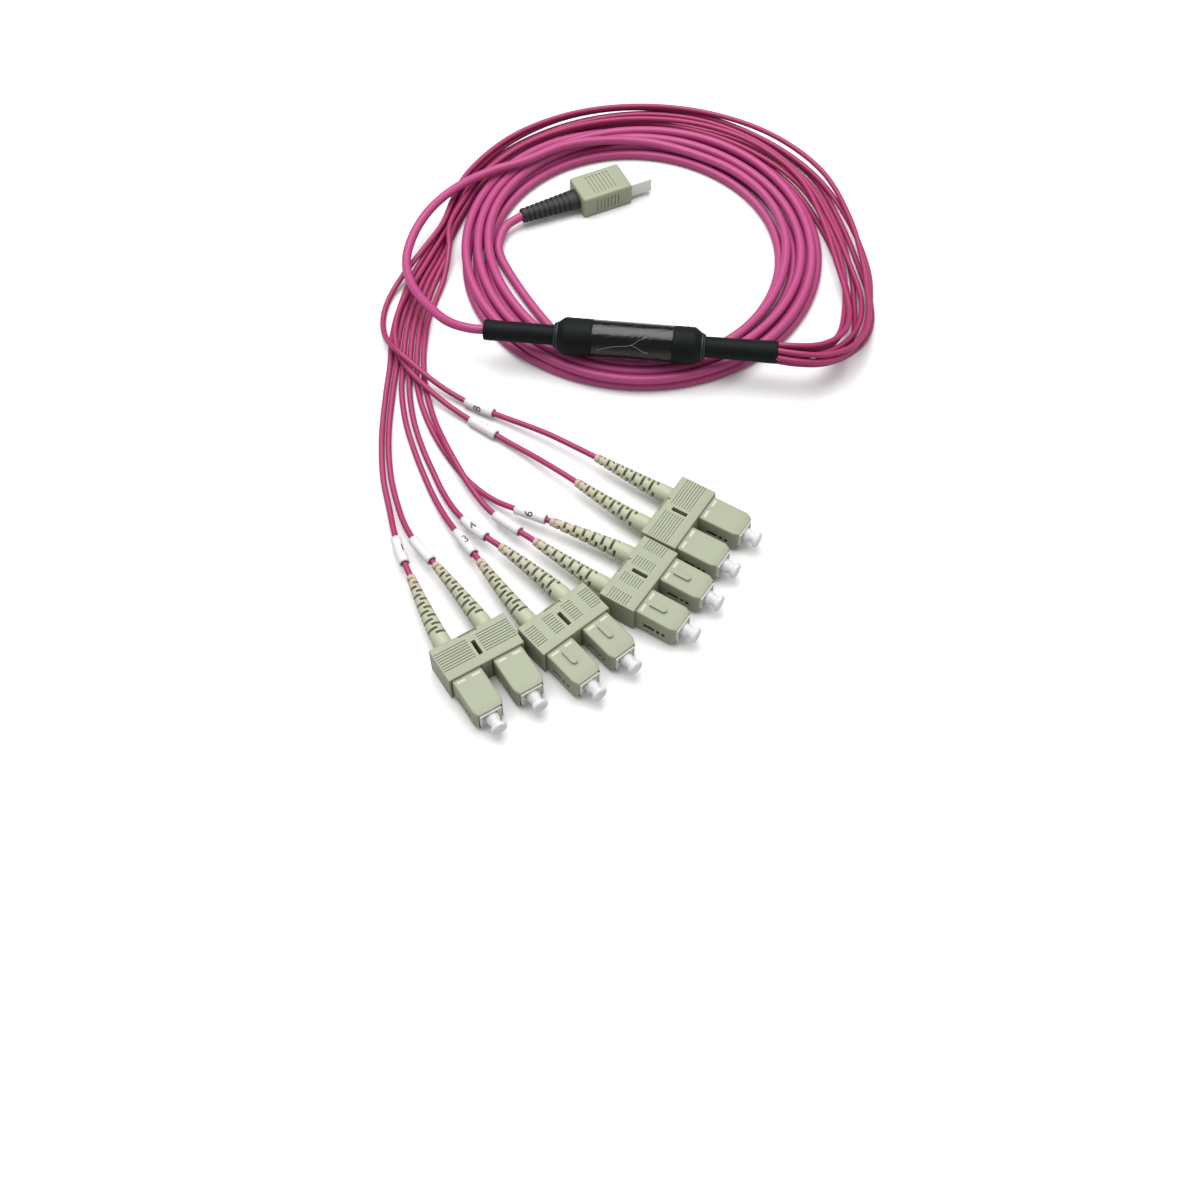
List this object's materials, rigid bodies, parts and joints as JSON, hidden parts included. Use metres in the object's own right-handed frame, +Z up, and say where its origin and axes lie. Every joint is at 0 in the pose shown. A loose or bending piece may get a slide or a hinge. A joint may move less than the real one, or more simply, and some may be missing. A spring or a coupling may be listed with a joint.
{
  "type": "fibre breakout cable",
  "caption": "Fibre optic breakout cable: a coiled round trunk, a breakout body and thin legs to push-pull connectors held in pairs by duplex clips.",
  "frame": {"origin": "on the floor under the middle of the box of the breakout and the connectors", "axes": "+Z up; +Y from the connectors to the coil; +X to the right as pictured"},
  "size_m": [0.1552, 0.25, 0.0182],
  "materials": {
    "beige_plastic": "satin",
    "frame_plastic": "satin",
    "boot_rubber": "matte",
    "cap_plastic": "translucent, satin",
    "black_sleeve": "satin",
    "clear_wrap": "clear, glossy",
    "trunk_jacket": "satin",
    "leg_jacket": "satin",
    "marker_sleeve": "matte",
    "plug_plastic": "satin",
    "plug_boot_rubber": "matte"
  },
  "bodies": {
    "cable": {"breakout_body": "black_sleeve", "window_wrap": "clear_wrap", "sleeve_trunk_side": "black_sleeve", "sleeve_leg_side": "black_sleeve", "trunk_lead": "trunk_jacket", "trunk_coil": "trunk_jacket", "trunk_plug": "plug_plastic", "trunk_plug_boot": "plug_boot_rubber", "frame_1a": "frame_plastic", "boot_1a": "boot_rubber", "leg_1a": "leg_jacket", "marker_1a": "marker_sleeve", "frame_1b": "frame_plastic", "boot_1b": "boot_rubber", "leg_1b": "leg_jacket", "marker_1b": "marker_sleeve", "frame_2a": "frame_plastic", "boot_2a": "boot_rubber", "leg_2a": "leg_jacket", "marker_2a": "marker_sleeve", "frame_2b": "frame_plastic", "boot_2b": "boot_rubber", "leg_2b": "leg_jacket", "marker_2b": "marker_sleeve", "frame_3a": "frame_plastic", "boot_3a": "boot_rubber", "leg_3a": "leg_jacket", "marker_3a": "marker_sleeve", "frame_3b": "frame_plastic", "boot_3b": "boot_rubber", "leg_3b": "leg_jacket", "marker_3b": "marker_sleeve", "frame_4a": "frame_plastic", "boot_4a": "boot_rubber", "leg_4a": "leg_jacket", "marker_4a": "marker_sleeve", "frame_4b": "frame_plastic", "boot_4b": "boot_rubber", "leg_4b": "leg_jacket", "marker_4b": "marker_sleeve"},
    "grips_1": {"clip_1": "beige_plastic", "grip_1a": "beige_plastic", "grip_1b": "beige_plastic"},
    "cap_1a": {"dust_cap_1a": "cap_plastic"},
    "cap_1b": {"dust_cap_1b": "cap_plastic"},
    "grips_2": {"clip_2": "beige_plastic", "grip_2a": "beige_plastic", "grip_2b": "beige_plastic"},
    "cap_2a": {"dust_cap_2a": "cap_plastic"},
    "cap_2b": {"dust_cap_2b": "cap_plastic"},
    "grips_3": {"clip_3": "beige_plastic", "grip_3a": "beige_plastic", "grip_3b": "beige_plastic"},
    "cap_3a": {"dust_cap_3a": "cap_plastic"},
    "cap_3b": {"dust_cap_3b": "cap_plastic"},
    "grips_4": {"clip_4": "beige_plastic", "grip_4a": "beige_plastic", "grip_4b": "beige_plastic"},
    "cap_4a": {"dust_cap_4a": "cap_plastic"},
    "cap_4b": {"dust_cap_4b": "cap_plastic"}
  },
  "joints": [
    {"name": "grips_1_release", "type": "slide", "parent": "cable", "child": "grips_1", "axis": [-0.5314, 0.8471, 0], "range_m": [0, 0.0015]},
    {"name": "dust_cap_1a_pull", "type": "slide", "parent": "cable", "child": "cap_1a", "axis": [0.5314, -0.8471, 0], "range_m": [0, 0.009]},
    {"name": "dust_cap_1b_pull", "type": "slide", "parent": "cable", "child": "cap_1b", "axis": [0.5314, -0.8471, 0], "range_m": [0, 0.009]},
    {"name": "grips_2_release", "type": "slide", "parent": "cable", "child": "grips_2", "axis": [-0.6494, 0.7604, 0], "range_m": [0, 0.0015]},
    {"name": "dust_cap_2a_pull", "type": "slide", "parent": "cable", "child": "cap_2a", "axis": [0.6494, -0.7604, 0], "range_m": [0, 0.009]},
    {"name": "dust_cap_2b_pull", "type": "slide", "parent": "cable", "child": "cap_2b", "axis": [0.6494, -0.7604, 0], "range_m": [0, 0.009]},
    {"name": "grips_3_release", "type": "slide", "parent": "cable", "child": "grips_3", "axis": [-0.8377, 0.5461, 0], "range_m": [0, 0.0015]},
    {"name": "dust_cap_3a_pull", "type": "slide", "parent": "cable", "child": "cap_3a", "axis": [0.8377, -0.5461, 0], "range_m": [0, 0.009]},
    {"name": "dust_cap_3b_pull", "type": "slide", "parent": "cable", "child": "cap_3b", "axis": [0.8377, -0.5461, 0], "range_m": [0, 0.009]},
    {"name": "grips_4_release", "type": "slide", "parent": "cable", "child": "grips_4", "axis": [-0.848, 0.5299, 0], "range_m": [0, 0.0015]},
    {"name": "dust_cap_4a_pull", "type": "slide", "parent": "cable", "child": "cap_4a", "axis": [0.848, -0.5299, 0], "range_m": [0, 0.009]},
    {"name": "dust_cap_4b_pull", "type": "slide", "parent": "cable", "child": "cap_4b", "axis": [0.848, -0.5299, 0], "range_m": [0, 0.009]}
  ]
}
